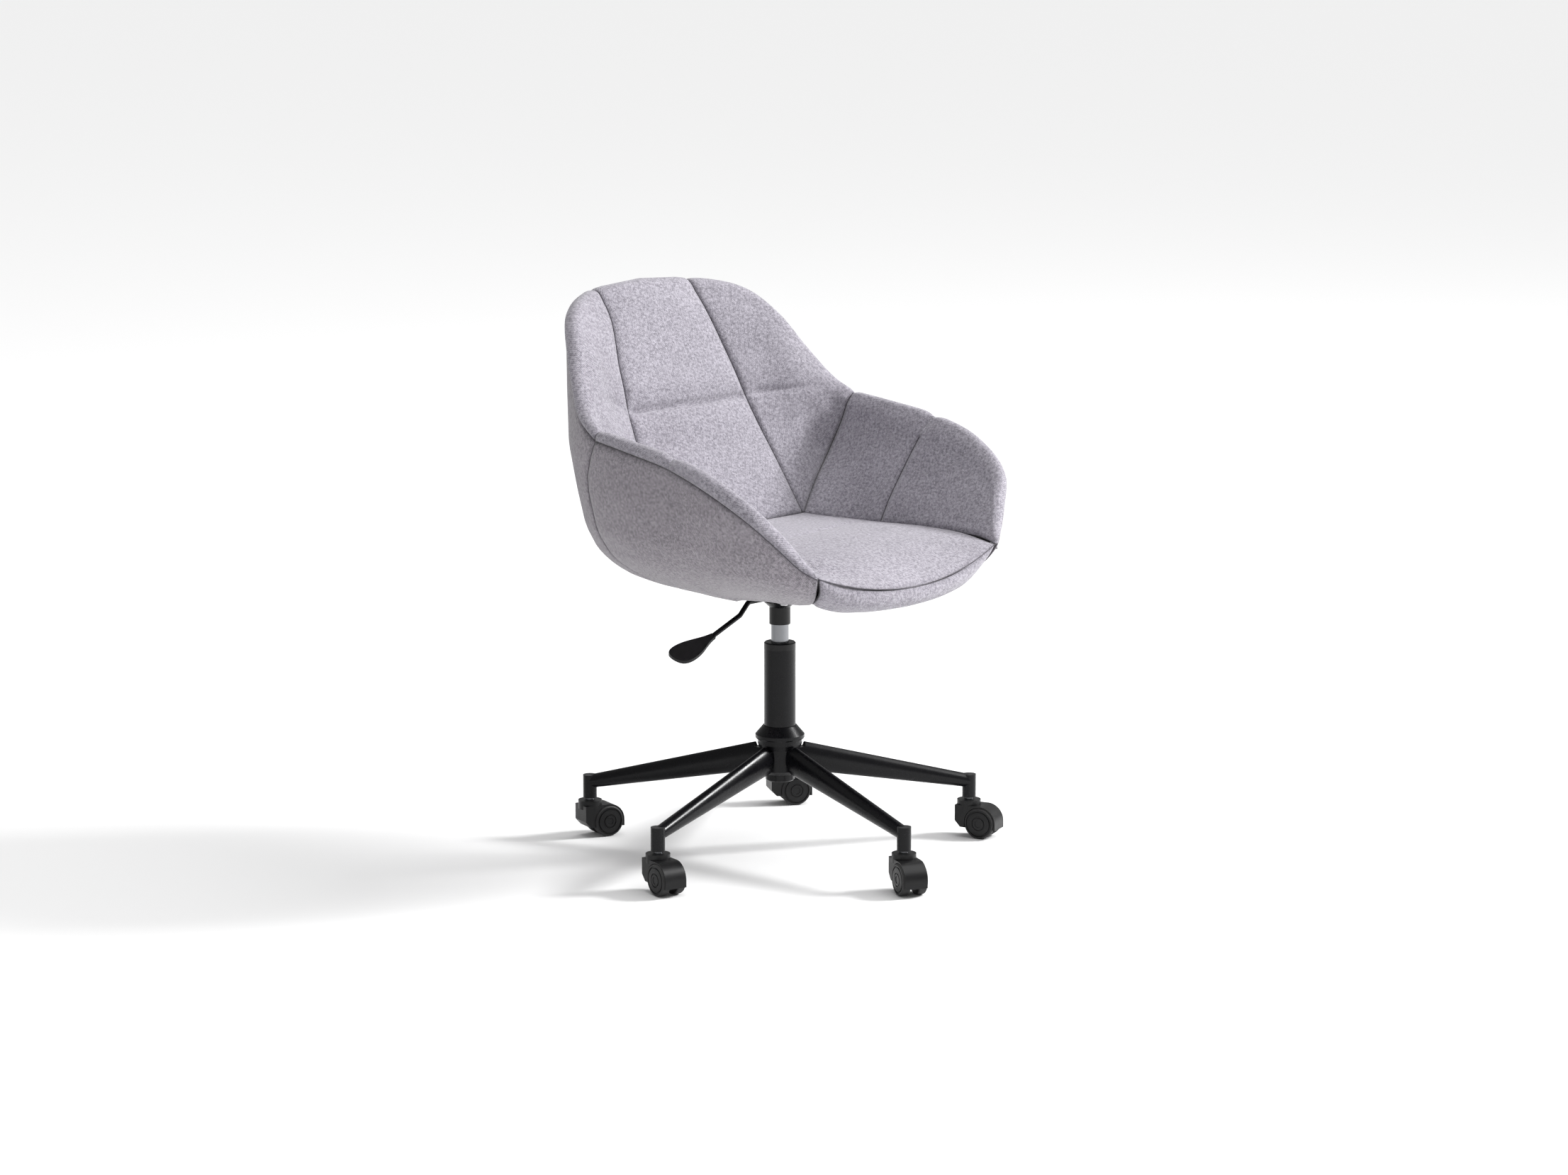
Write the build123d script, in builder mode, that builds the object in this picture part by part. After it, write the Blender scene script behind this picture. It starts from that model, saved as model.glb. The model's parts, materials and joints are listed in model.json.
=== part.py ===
"""Swivel armchair: upholstered tub on a gas lift, five-leg base and twin-wheel casters."""

import os
from math import ceil, cos, floor, pi, radians, sin, tan

from build123d import *

os.makedirs("parts", exist_ok=True)

# ---- driving dimensions, millimetres; the floor is z = 0 and the column is the z axis ----
CLEAR = 0.05  # radial running clearance
GAP = 0.4  # air between soft or moving neighbours

LEGS = 5
FIRST_LEG_DEG = 43.4
LEG_REACH = 320
LEG_WIDTH = 22
LEG_HUB_HEIGHT = 48
LEG_TIP_HEIGHT = 22
LEG_HUB_Z = 153
LEG_TIP_Z = 90
STUB_R = 11
STUB_BOTTOM = 64
STEM_DEPTH = 24

HUB_R = 32
HUB_BOTTOM = 127
HUB_TOP = 183
RING_R = 23
RING_BOTTOM = 115
COVER_R = 39
COVER_LIP = 190
COVER_TOP = 204

TUBE_R = 25
TUBE_TOP = 327
TUBE_WALL = 2.5
BUSH_TOP = 338
BUSH_BOTTOM = 250
GAS_R = 14
GAS_BOTTOM = 158
GAS_TOP = 401
GAS_WALL = 2
PISTON_LOW = 350
PISTON_HIGH = 362
VALVE_LOW = 366
VALVE_HIGH = 374
PIN_BOTTOM = 382
ROD_R = 5
SLEEVE_R = 16.75
SLEEVE_BOTTOM = 367
CONE_BOTTOM = 394
CONE_SHOULDER = 408
CONE_R = 32
PLATE_BOTTOM = 417
PLATE_TOP = 420
PLATE_X, PLATE_Y = 150, 160
BOLT_X, BOLT_Y = 120, 130
BOLT_R = 3

LEVER_Z = 411
LEVER_R = 4
LEVER_BEND_R = 10
LEVER_BENDS = ((-72, 0, 411), (-92, -1, 393))
PADDLE_ROOT = (-155, -2, 369)
PADDLE_END_X = -240
PADDLE_END_Z = 346
PADDLE_W = 42
PADDLE_T = 6
PADDLE_TILT_DEG = 20

WHEEL_R = 25
WHEEL_W = 15
WHEEL_GAP = 13
CASTER_TRAIL = 25
CUP_R = 19
CUP_TOP = 60
CUP_TALL = 14
CUP_BORE = 20
HOOD_R = 27.5
HOOD_HALF_W = 18.5
STEM_R = 5.5
AXLE_R = 3
TRAIL_DEG = (-32, -17, -104, -117, -72)

TUB_LEVELS = (  # height, half width, back Y, front Y of the outside
    (421, 95, 170, -215),
    (426, 125, 205, -240),
    (440, 167, 245, -272),
    (460, 212, 258, -286),
    (490, 256, 266, -290),
    (530, 286, 272, -290),
    (590, 303, 276, -288),
    (660, 312, 290, -285),
    (740, 300, 305, -285),
    (892, 278, 324, -285),
)
SEAT_LEVELS = (  # height, centre half width, its Y, wing X, wing Y, arm X, front X of the inside
    (502, 150, 90, 156, 86, 194, 203),
    (575, 146, 130, 232, 112, 245, 240),
    (650, 141, 178, 270, 108, 282, 262),
    (704, 131, 205, 268, 128, 288, 262),
    (790, 117, 243, 228, 205, 288, 262),
    (895, 100, 295, 170, 275, 288, 262),
)
RIM = (  # Y and height of the rim, from the seat's front corner to the top of the back
    (-270, 499),
    (-239, 565),
    (-173, 629),
    (-81, 664),
    (39, 682),
    (107, 691),
    (166, 733),
    (220, 808),
    (262, 851),
    (306, 884),
)
SKIN = 14  # thickness of the outer covers and their shell
DUST_TOP = 424
PAN_TOP = 436
BOARD_T = 12
SEAT_TOP = 502
BORDER_TOP = 497
PIPING_DROP = 17  # from the top of the rim down to the piping
RIM_T = 32
PAD_AIR = 5  # room for the covers' own thickness behind a pad
BACK_ROUND = 2.7
FRONT_ROUND = 4.6
TUB_CENTRE_Y = -20
FRONT_DEG = -51  # directions of the seams, from +X about the tub's own axis
ARM_FRONT_DEG = -40
SIDE_DEG = 26
CENTRE_DEG = 64.8
SPLIT_DEG = 0.15
STATION_DEG = 7.2  # the panels' sections are at whole multiples of this, and at their ends
COVER_SHARES = (0, 0.04, 0.09, 0.15, 0.25, 0.45, 0.7, 1)
PAD_SHARES = (0, 0.3, 0.65, 1)
PLAN_POINTS = 32


def save(part, name):
    """Label one finished piece and write it under its node name."""
    part.label = name
    export_step(part, f"parts/{name}.step")


def ring(inner, outer, low, high):
    """A plain bush or sleeve about the column's axis."""
    with BuildPart() as bush:
        with BuildSketch(Plane.XY.offset(low)):
            Circle(outer)
            Circle(inner, mode=Mode.SUBTRACT)
        extrude(amount=high - low)
    return bush.part


def turned(points):
    """A solid turned about the column's axis from a closed radius and height outline."""
    with BuildPart() as body:
        with BuildSketch(Plane.XZ):
            with BuildLine():
                Polyline(*points, close=True)
            make_face()
        revolve(axis=Axis.Z)
    return body.part


# ---- base: hub, legs, column tube ----
def make_hub():
    """The welded hub: a sleeve that the column tube and the five legs are fixed to."""
    hub = turned(
        [(TUBE_R + CLEAR, HUB_BOTTOM + 6), (TUBE_R + CLEAR, HUB_TOP), (HUB_R + 3, HUB_TOP),
         (HUB_R + 3, HUB_TOP - 8), (HUB_R, HUB_TOP - 16), (HUB_R, HUB_BOTTOM + 6),
         (RING_R + 3, HUB_BOTTOM), (ROD_R + 4, HUB_BOTTOM), (ROD_R + 4, HUB_BOTTOM + 6)]
    )
    save(hub, "base_hub")

    lower = turned(
        [(ROD_R + 8, HUB_BOTTOM), (RING_R, HUB_BOTTOM), (RING_R, RING_BOTTOM + 2),
         (RING_R - 2, RING_BOTTOM), (ROD_R + 8, RING_BOTTOM)]
    )
    save(lower, "hub_lower_ring")

    cover = turned(
        [(TUBE_R + CLEAR, HUB_TOP + GAP), (COVER_R - 1, HUB_TOP + GAP), (COVER_R, HUB_TOP + 2),
         (COVER_R, COVER_LIP), (TUBE_R + 2, COVER_TOP), (TUBE_R + CLEAR, COVER_TOP)]
    )
    save(cover, "hub_cover")


def leg_plane(angle, along):
    """A plane square to a leg, at a distance from the column."""
    heading = radians(angle)
    slope = (LEG_TIP_Z - LEG_HUB_Z) / (LEG_REACH - HUB_R)
    height = LEG_HUB_Z + slope * (along - HUB_R)
    out = (cos(heading), sin(heading), 0)
    return Plane(
        origin=(along * out[0], along * out[1], height),
        x_dir=(-out[1], out[0], 0),
        z_dir=out,
    )


def make_legs():
    """Five tapered oval tubes, each mitred into an upright stub that holds a caster stem."""
    for leg in range(LEGS):
        angle = FIRST_LEG_DEG + leg * 360 / LEGS
        heading = radians(angle)
        tip = (LEG_REACH * cos(heading), LEG_REACH * sin(heading))
        with BuildPart() as arm:
            for along, tall in ((HUB_R - 6, LEG_HUB_HEIGHT), (LEG_REACH, LEG_TIP_HEIGHT)):
                with BuildSketch(leg_plane(angle, along)):
                    Ellipse(LEG_WIDTH / 2, tall / 2)
            loft()
            with BuildSketch(Plane.XY.offset(STUB_BOTTOM)):
                with Locations(tip):
                    Circle(STUB_R)
            extrude(amount=LEG_TIP_Z + STUB_R - STUB_BOTTOM)
            with BuildSketch(Plane.XY.offset(LEG_TIP_Z)):
                with Locations(tip):
                    Circle(STUB_R)
            extrude(amount=-(LEG_TIP_Z - STUB_BOTTOM))
            # the bore of the stub, and the hub's own space
            with BuildSketch(Plane.XY.offset(STUB_BOTTOM)):
                with Locations(tip):
                    Circle(STEM_R)
            extrude(amount=STEM_DEPTH + 2, mode=Mode.SUBTRACT)
            with BuildSketch(Plane.XY.offset(RING_BOTTOM)):
                Circle(HUB_R + CLEAR)
            extrude(amount=COVER_TOP - RING_BOTTOM, mode=Mode.SUBTRACT)
            with BuildSketch(Plane.XY.offset(HUB_TOP - 16)):
                Circle(COVER_R + 2)
            extrude(amount=COVER_TOP - HUB_TOP + 16, mode=Mode.SUBTRACT)
        save(arm.part, f"base_leg_{leg + 1}")


def make_column():
    """The outer tube, the bush that guides the gas cylinder, and the clip under the hub."""
    save(ring(TUBE_R - TUBE_WALL, TUBE_R, HUB_BOTTOM + 6, TUBE_TOP), "column_tube")
    bush = turned(
        [(GAS_R + CLEAR, BUSH_BOTTOM), (TUBE_R - TUBE_WALL - CLEAR, BUSH_BOTTOM),
         (TUBE_R - TUBE_WALL - CLEAR, TUBE_TOP), (TUBE_R, TUBE_TOP), (TUBE_R, BUSH_TOP - 1.5), (TUBE_R - 1.5, BUSH_TOP),
         (GAS_R + CLEAR, BUSH_TOP)]
    )
    save(bush, "guide_bush")


def make_stems():
    """Five chromed caster stems, each held in its stub by a grip ring."""
    with BuildPart() as stems:
        for leg in range(LEGS):
            heading = radians(FIRST_LEG_DEG + leg * 360 / LEGS)
            centre = (LEG_REACH * cos(heading), LEG_REACH * sin(heading))
            with BuildSketch(Plane.XY.offset(CUP_TOP - CUP_BORE)):
                with Locations(centre):
                    Circle(STEM_R - CLEAR)
            extrude(amount=STUB_BOTTOM + STEM_DEPTH - CUP_TOP + CUP_BORE)
            with BuildSketch(Plane.XY.offset(CUP_TOP + GAP)):
                with Locations(centre):
                    Circle(STEM_R + 2)
            extrude(amount=STUB_BOTTOM - CUP_TOP - 2 * GAP)
    save(stems.part, "caster_stems")


# ---- lift: rod, bearing, cylinder, release pin ----
def make_lift():
    """The gas spring: its rod turns on a thrust bearing and its cylinder slides up the tube."""
    piston_r = GAS_R - GAS_WALL - CLEAR
    rod = turned(
        [(0, RING_BOTTOM + 1), (ROD_R, RING_BOTTOM + 1), (ROD_R, PISTON_LOW),
         (piston_r, PISTON_LOW), (piston_r, PISTON_HIGH), (0, PISTON_HIGH)]
    )
    save(rod, "piston_rod")
    bearing = ring(ROD_R, TUBE_R - 6, HUB_BOTTOM + 6 + GAP, HUB_BOTTOM + 14)
    save(bearing, "thrust_bearing")
    clip = ring(ROD_R, ROD_R + 5, RING_BOTTOM + 2, HUB_BOTTOM - GAP)
    save(clip, "rod_clip")

    cylinder = turned(
        [(ROD_R + CLEAR, GAS_BOTTOM), (GAS_R - 1, GAS_BOTTOM), (GAS_R, GAS_BOTTOM + 1),
         (GAS_R, SLEEVE_BOTTOM), (GAS_R - 1, GAS_TOP), (LEVER_R + CLEAR, GAS_TOP),
         (LEVER_R + CLEAR, VALVE_HIGH), (GAS_R - 2 * GAS_WALL, VALVE_HIGH),
         (GAS_R - 2 * GAS_WALL, VALVE_LOW), (GAS_R - GAS_WALL, VALVE_LOW),
         (GAS_R - GAS_WALL, GAS_BOTTOM + 8), (ROD_R + CLEAR, GAS_BOTTOM + 8)]
    )
    save(cylinder, "gas_cylinder")

    with BuildPart() as pin:
        with BuildSketch(Plane.XY.offset(PIN_BOTTOM)):
            Circle(LEVER_R)
        extrude(amount=LEVER_Z - LEVER_R - GAP - PIN_BOTTOM)
    save(pin.part, "release_pin")

    save(ring(GAS_R + CLEAR, SLEEVE_R, SLEEVE_BOTTOM, CONE_BOTTOM), "cylinder_sleeve")


# ---- seat mounting: cone, plate, bolts, board ----
def make_mounting():
    """The pressed cone that seats on the cylinder, the plate over it and what bolts it on."""
    with BuildPart() as cone:
        with BuildSketch(Plane.XZ):
            with BuildLine():
                Polyline(
                    (GAS_R + CLEAR, CONE_BOTTOM), (SLEEVE_R, CONE_BOTTOM),
                    (CONE_R, CONE_SHOULDER), (CONE_R, PLATE_BOTTOM), (CONE_R - 4, PLATE_BOTTOM),
                    (CONE_R - 4, CONE_SHOULDER - 1), (GAS_R + 8, 402), (GAS_R + CLEAR, 402),
                    close=True,
                )
            make_face()
        revolve(axis=Axis.Z)
        with BuildSketch(Plane.XY.offset(CONE_BOTTOM + 9)):
            with Locations((-CONE_R, 0)):
                Rectangle(24, 3 * LEVER_R)
        extrude(amount=PLATE_BOTTOM - CONE_BOTTOM - 9, mode=Mode.SUBTRACT)
    save(cone.part, "lift_cone")

    with BuildPart() as plate:
        with BuildSketch(Plane.XY.offset(PLATE_BOTTOM)):
            RectangleRounded(PLATE_X, PLATE_Y, 10)
            with GridLocations(BOLT_X, BOLT_Y, 2, 2):
                Circle(BOLT_R + 0.2, mode=Mode.SUBTRACT)
        extrude(amount=PLATE_TOP - PLATE_BOTTOM)
    save(plate.part, "mounting_plate")

    with BuildPart() as bolts:
        with BuildSketch(Plane.XY.offset(PLATE_BOTTOM - 4)):
            with GridLocations(BOLT_X, BOLT_Y, 2, 2):
                RegularPolygon(BOLT_R + 2.8, 6)
        extrude(amount=4)
        with BuildSketch(Plane.XY.offset(PLATE_BOTTOM)):
            with GridLocations(BOLT_X, BOLT_Y, 2, 2):
                Circle(BOLT_R)
        extrude(amount=PAN_TOP + BOARD_T - PLATE_BOTTOM)
    save(bolts.part, "plate_bolts")

    with BuildPart() as board:
        with BuildSketch(Plane.XY.offset(PAN_TOP)):
            RectangleRounded(240, 300, 40)
            with GridLocations(BOLT_X, BOLT_Y, 2, 2):
                Circle(BOLT_R + 2.1, mode=Mode.SUBTRACT)
        extrude(amount=BOARD_T)
    save(board.part, "seat_board")

    with BuildPart() as nuts:
        with BuildSketch(Plane.XY.offset(PAN_TOP)):
            with GridLocations(BOLT_X, BOLT_Y, 2, 2):
                Circle(BOLT_R + 2)
                Circle(BOLT_R + CLEAR, mode=Mode.SUBTRACT)
        extrude(amount=BOARD_T)
    save(nuts.part, "tee_nuts")


# ---- lever ----
def make_lever():
    """A bent rod that reaches over the release pin, and the flat paddle on its end."""
    with BuildPart() as rod:
        with BuildLine():
            FilletPolyline(
                (LEVER_R, 0, LEVER_Z), *LEVER_BENDS, PADDLE_ROOT,
                radius=LEVER_BEND_R,
            )
        with BuildSketch(Plane.YZ.offset(LEVER_R)):
            with Locations((0, LEVER_Z)):
                Circle(LEVER_R)
        sweep()
    save(rod.part, "lever_rod")

    drop = (PADDLE_ROOT[2] - PADDLE_END_Z) / (PADDLE_ROOT[0] - PADDLE_END_X)
    length = (PADDLE_ROOT[0] - PADDLE_END_X) * (1 + drop**2) ** 0.5
    blade_plane = Plane(
        origin=PADDLE_ROOT,
        x_dir=(-1, 0, -drop),
        z_dir=(-drop, -tan(radians(PADDLE_TILT_DEG)), 1),
    )
    with BuildPart() as paddle:
        with BuildSketch(blade_plane.offset(-PADDLE_T / 2)):
            with BuildLine():
                Spline(
                    (-2, 5), (16, 9), (length - 30, PADDLE_W / 2), (length - 4, PADDLE_W / 2 - 6),
                    (length, 0), (length - 4, 6 - PADDLE_W / 2), (length - 30, -PADDLE_W / 2),
                    (16, -9), (-2, -5),
                )
                Line((-2, -5), (-2, 5))
            make_face()
        extrude(amount=PADDLE_T)
        top = paddle.faces().sort_by(Axis(blade_plane.origin, blade_plane.z_dir))[-1]
        fillet(top.edges().sort_by(SortBy.LENGTH)[-1], 1.5)
        # room for the rod's end, which the paddle is moulded round
        add(rod.part, mode=Mode.SUBTRACT)
    save(paddle.part, "lever_paddle")


# ---- casters ----
def make_caster(number, leg_deg, trail_deg):
    """One twin-wheel caster: hood, axle and two wheels, trailing in its own direction."""
    heading = radians(leg_deg)
    pin = (LEG_REACH * cos(heading), LEG_REACH * sin(heading))
    trail = radians(trail_deg)
    out = (cos(trail), sin(trail), 0)
    hub = (pin[0] + CASTER_TRAIL * out[0], pin[1] + CASTER_TRAIL * out[1], WHEEL_R)
    # side plane: local x is the trail, local y is up, its normal is the axle
    side = Plane(origin=hub, x_dir=out, z_dir=(sin(trail), -cos(trail), 0))
    inner = WHEEL_GAP / 2

    with BuildPart() as hood:
        with BuildSketch(Plane.XY.offset(CUP_TOP - CUP_TALL)):
            with Locations(pin):
                Circle(CUP_R)
        extrude(amount=CUP_TALL)
        with BuildSketch(side.offset(-HOOD_HALF_W)):
            with BuildLine():
                Polyline(
                    (-CASTER_TRAIL - 17, 20), (-CASTER_TRAIL - 17, 2), (-CASTER_TRAIL - 8, -8),
                    (0, -10), (HOOD_R, -10), (HOOD_R, 0),
                )
                RadiusArc((HOOD_R, 0), (0, HOOD_R), -HOOD_R)
                Polyline((0, HOOD_R), (-CASTER_TRAIL - 17, HOOD_R), (-CASTER_TRAIL - 17, 20))
            make_face()
        extrude(amount=2 * HOOD_HALF_W)
        # the wheels' wells on both sides of the middle web
        for near, far in ((inner - 1.5, HOOD_HALF_W + 5), (-HOOD_HALF_W - 5, 1.5 - inner)):
            with BuildSketch(side.offset(near)):
                Circle(WHEEL_R + 0.8)
            extrude(amount=far - near, mode=Mode.SUBTRACT)
        with BuildSketch(side.offset(-HOOD_HALF_W - 5)):
            with Locations((10, -22)):
                Rectangle(90, 20)
        extrude(amount=2 * HOOD_HALF_W + 10, mode=Mode.SUBTRACT)
        with BuildSketch(Plane.XY.offset(CUP_TOP - CUP_BORE)):
            with Locations(pin):
                Circle(STEM_R)
        extrude(amount=CUP_BORE + 1, mode=Mode.SUBTRACT)
        with BuildSketch(side.offset(-inner)):
            Circle(AXLE_R)
        extrude(amount=WHEEL_GAP, mode=Mode.SUBTRACT)
    save(hood.part, f"caster_hood_{number}")

    with BuildPart() as axle:
        with BuildSketch(side.offset(-inner - WHEEL_W + 3)):
            Circle(AXLE_R)
        extrude(amount=WHEEL_GAP + 2 * WHEEL_W - 6)
    save(axle.part, f"caster_axle_{number}")

    for name, near in (("left", inner), ("right", -inner - WHEEL_W)):
        with BuildPart() as wheel:
            with BuildSketch(side.offset(near)):
                Circle(WHEEL_R)
            extrude(amount=WHEEL_W)
            outer = wheel.faces().sort_by(Axis(hub, side.z_dir))[-1 if name == "left" else 0]
            chamfer(outer.edges(), 2.5)
            with BuildSketch(side.offset(near if name == "left" else near + 3)):
                Circle(AXLE_R + CLEAR)
            extrude(amount=WHEEL_W - 3, mode=Mode.SUBTRACT)
        save(wheel.part, f"wheel_{name}_{number}")


# ---- upholstered tub ----
def between(levels, height):
    """The row of a level table at any height, straight between its neighbours."""
    low = max((row for row in levels if row[0] <= height), default=levels[0])
    high = min((row for row in levels if row[0] >= height), default=levels[-1])
    share = (height - low[0]) / (high[0] - low[0]) if high[0] > low[0] else 0
    return [a + share * (b - a) for a, b in zip(low, high)]


def outside(turn, height, inset=0):
    """How far the tub's outside is from TUB_CENTRE_Y on the z axis, in one direction."""
    _, width, back, front = between(TUB_LEVELS, height)
    behind = sin(turn) > 0
    depth = (back if behind else -front) + (-TUB_CENTRE_Y if behind else TUB_CENTRE_Y)
    power = BACK_ROUND if behind else FRONT_ROUND
    reach = abs(cos(turn) / width) ** power + abs(sin(turn) / depth) ** power
    return reach ** (-1 / power) - inset


def inside(turn, height):
    """How far the tub's inside is from the same axis, in one direction."""
    _, centre_x, centre_y, wing_x, wing_y, arm_x, front_x = between(SEAT_LEVELS, height)
    corners = [(0, centre_y), (centre_x, centre_y), (wing_x, wing_y), (arm_x, -50),
               (front_x, -200), (front_x, -600)]
    way = (abs(cos(turn)), sin(turn))
    for (x0, y0), (x1, y1) in zip(corners, corners[1:]):
        y0, y1 = y0 - TUB_CENTRE_Y, y1 - TUB_CENTRE_Y
        cross = way[0] * (y1 - y0) - way[1] * (x1 - x0)
        if abs(cross) < 1e-9:
            continue
        reach = (x0 * (y1 - y0) - y0 * (x1 - x0)) / cross
        share = (x0 * way[1] - y0 * way[0]) / cross
        if reach > 0 and -1e-6 <= share <= 1 + 1e-6:
            return reach
    return 0


def rim_height(turn):
    """The height of the rim in one direction, where the rim line meets the outside."""
    low, high = RIM[0][1], RIM[-1][1]
    for _ in range(40):
        middle = (low + high) / 2
        y = TUB_CENTRE_Y + outside(turn, middle) * sin(turn)
        if between(RIM, y)[1] > middle:
            low = middle
        else:
            high = middle
    return low


def station(turn):
    """The upright plane through the tub's axis in one direction: local x out, local y up."""
    out = (cos(turn), sin(turn), 0)
    return Plane(origin=(0, TUB_CENTRE_Y, 0), x_dir=out, z_dir=(sin(turn), -cos(turn), 0))


def cover_outline(turn, top):
    """The section of an outer cover, from the pan up to its piped edge."""
    low = PAN_TOP + GAP
    heights = [low + share * (top - low) for share in COVER_SHARES]
    outer = [(outside(turn, height), height) for height in heights]
    return outer + [(r - SKIN, height) for r, height in reversed(outer)]


def pad_outline(turn):
    """The section of an inner pad: up its face, over the rim and down behind the cover."""
    low, top = SEAT_TOP + GAP, rim_height(turn)
    lip = top - PIPING_DROP
    edge = outside(turn, top)
    face = min(inside(turn, top), edge - RIM_T)
    back = SKIN + PAD_AIR
    rise = [low + share * (lip - low) for share in PAD_SHARES]
    front = [(min(inside(turn, height), outside(turn, height) - RIM_T), height) for height in rise]
    roll = [(face + 7, top - 4), ((face + edge) / 2, top), (edge - 7, top - 4)]
    behind = [(outside(turn, height) - back, height) for height in reversed(rise)]
    return front + roll + [(edge, lip + GAP), (edge - back, lip + GAP)] + behind


def swept_piece(name, start, end, outline):
    """Loft one panel of the tub through its sections, from one direction to another."""
    whole = range(ceil((start + 1) / STATION_DEG), floor((end - 1) / STATION_DEG) + 1)
    with BuildPart() as panel:
        for round_deg in (start, *(STATION_DEG * step for step in whole), end):
            turn = radians(round_deg)
            with BuildSketch(station(turn)):
                with BuildLine():
                    Polyline(*outline(turn), close=True)
                make_face()
        loft(ruled=True)
    save(panel.part, name)


def plan_outline(height, inset):
    """The tub's plan at one height, as the points of a closed curve."""
    points = []
    for step in range(PLAN_POINTS):
        turn = 2 * pi * (step + 0.5) / PLAN_POINTS
        reach = outside(turn, height, inset)
        points.append((reach * cos(turn), TUB_CENTRE_Y + reach * sin(turn)))
    return points


def layer(name, heights, inset, bolt_holes=False):
    """One horizontal layer of the tub, lofted between its plans."""
    with BuildPart() as slab:
        for height in heights:
            with BuildSketch(Plane.XY.offset(height)):
                with BuildLine():
                    Polyline(*plan_outline(height, inset), close=True)
                make_face()
        loft(ruled=True)
        if bolt_holes:
            with BuildSketch(Plane.XY.offset(heights[0])):
                with GridLocations(BOLT_X, BOLT_Y, 2, 2):
                    Circle(BOLT_R + 0.2)
            extrude(amount=heights[-1] - heights[0], mode=Mode.SUBTRACT)
    save(slab.part, name)


def make_tub():
    """Dust cover, pan, seat cushion, outer covers and the pads inside."""
    layer("dust_cover", (TUB_LEVELS[0][0], DUST_TOP), 0, bolt_holes=True)
    layer("tub_pan", (DUST_TOP, PAN_TOP), 0, bolt_holes=True)
    layer("seat_cushion", (PAN_TOP + BOARD_T + GAP, 460, 475, 490, SEAT_TOP), SKIN + 2 * PAD_AIR)

    def side_cover(turn):
        return cover_outline(turn, rim_height(turn) - PIPING_DROP)

    def border(turn):
        return cover_outline(turn, BORDER_TOP)

    swept_piece("seat_front_border", -180 - FRONT_DEG, FRONT_DEG, border)
    swept_piece("outer_back_cover", SIDE_DEG, 180 - SIDE_DEG, side_cover)
    swept_piece("back_centre_pad", CENTRE_DEG, 180 - CENTRE_DEG, pad_outline)
    for side, mirrored in (("left", False), ("right", True)):
        for name, start, end, outline in (
            ("outer_side", FRONT_DEG + SPLIT_DEG, SIDE_DEG - SPLIT_DEG, side_cover),
            ("arm_pad", ARM_FRONT_DEG, SIDE_DEG - SPLIT_DEG, pad_outline),
            ("wing_pad", SIDE_DEG, CENTRE_DEG - SPLIT_DEG, pad_outline),
        ):
            if mirrored:
                start, end = 180 - end, 180 - start
            swept_piece(f"{name}_{side}", start, end, outline)


def main():
    """Build and write every piece."""
    make_hub()
    make_legs()
    make_column()
    make_stems()
    make_lift()
    make_mounting()
    make_lever()
    for leg, trail in enumerate(TRAIL_DEG):
        make_caster(leg + 1, FIRST_LEG_DEG + leg * 360 / LEGS, trail)
    make_tub()


main()
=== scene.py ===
"""Upholstery, finishes and setting of a swivel armchair, laid out as a Blender add-on."""

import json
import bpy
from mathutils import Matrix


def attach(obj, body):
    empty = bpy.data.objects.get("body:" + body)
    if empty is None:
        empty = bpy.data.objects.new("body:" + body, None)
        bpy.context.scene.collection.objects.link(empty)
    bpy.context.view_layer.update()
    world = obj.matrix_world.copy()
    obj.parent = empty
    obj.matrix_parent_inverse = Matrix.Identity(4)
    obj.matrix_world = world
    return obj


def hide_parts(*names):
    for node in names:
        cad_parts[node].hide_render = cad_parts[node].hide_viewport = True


bl_info = {
    "name": "Swivel armchair",
    "version": (1, 0, 0),
    "blender": (4, 5, 0),
    "location": "View3D > Sidebar > Armchair",
    "description": "Upholsters and finishes a swivel armchair round its fixed frame",
    "category": "Add Mesh",
}

from math import cos, pi, radians, sin

import bpy
import numpy as np
from mathutils import Matrix, Vector

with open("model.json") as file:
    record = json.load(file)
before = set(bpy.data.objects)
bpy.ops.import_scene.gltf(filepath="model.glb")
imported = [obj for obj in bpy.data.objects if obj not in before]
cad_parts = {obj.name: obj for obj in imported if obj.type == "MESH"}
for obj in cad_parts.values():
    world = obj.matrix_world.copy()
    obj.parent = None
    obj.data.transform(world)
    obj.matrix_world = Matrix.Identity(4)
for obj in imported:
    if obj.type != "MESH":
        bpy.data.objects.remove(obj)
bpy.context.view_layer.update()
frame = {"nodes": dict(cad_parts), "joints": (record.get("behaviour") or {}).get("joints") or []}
MM = 0.001

# ---- the tub's own lines, in millimetres: x to the sitter's left, y to the back, z up ----
# Each rib runs from the seat, up the pad's face, over the rim and down to the piping.
CENTRE_RIB = (
    (0, 92, 511), (0, 140, 590), (0, 187, 667), (0, 229, 757),
    (0, 283, 861), (0, 303, 882), (0, 317, 879), (0, 321, 865),
)
SEAM_RIB = (
    (152, 92, 513), (146, 140, 590), (137, 187, 667), (123, 229, 757),
    (104, 281, 856), (104, 301, 876), (106, 314, 873), (107, 319, 859),
)
WING_HIGH_RIB = (
    (152.3, 91.7, 513), (166, 132, 579), (180, 165, 650), (177, 204, 742),
    (191, 238, 826), (200, 252, 849), (208, 257, 844), (209, 257, 829),
)
WING_MIDDLE_RIB = (
    (152.5, 91.5, 513), (177, 127, 574), (201, 153, 640), (213, 176, 724),
    (223, 207, 791), (232, 219, 811), (239, 223, 806), (239, 221, 792),
)
WING_LOW_RIB = (
    (152.7, 91.3, 513), (188, 122, 568), (222, 144, 624), (242, 150, 694),
    (248, 175, 745), (257, 186, 761), (264, 188, 756), (263, 184, 745),
)
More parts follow.
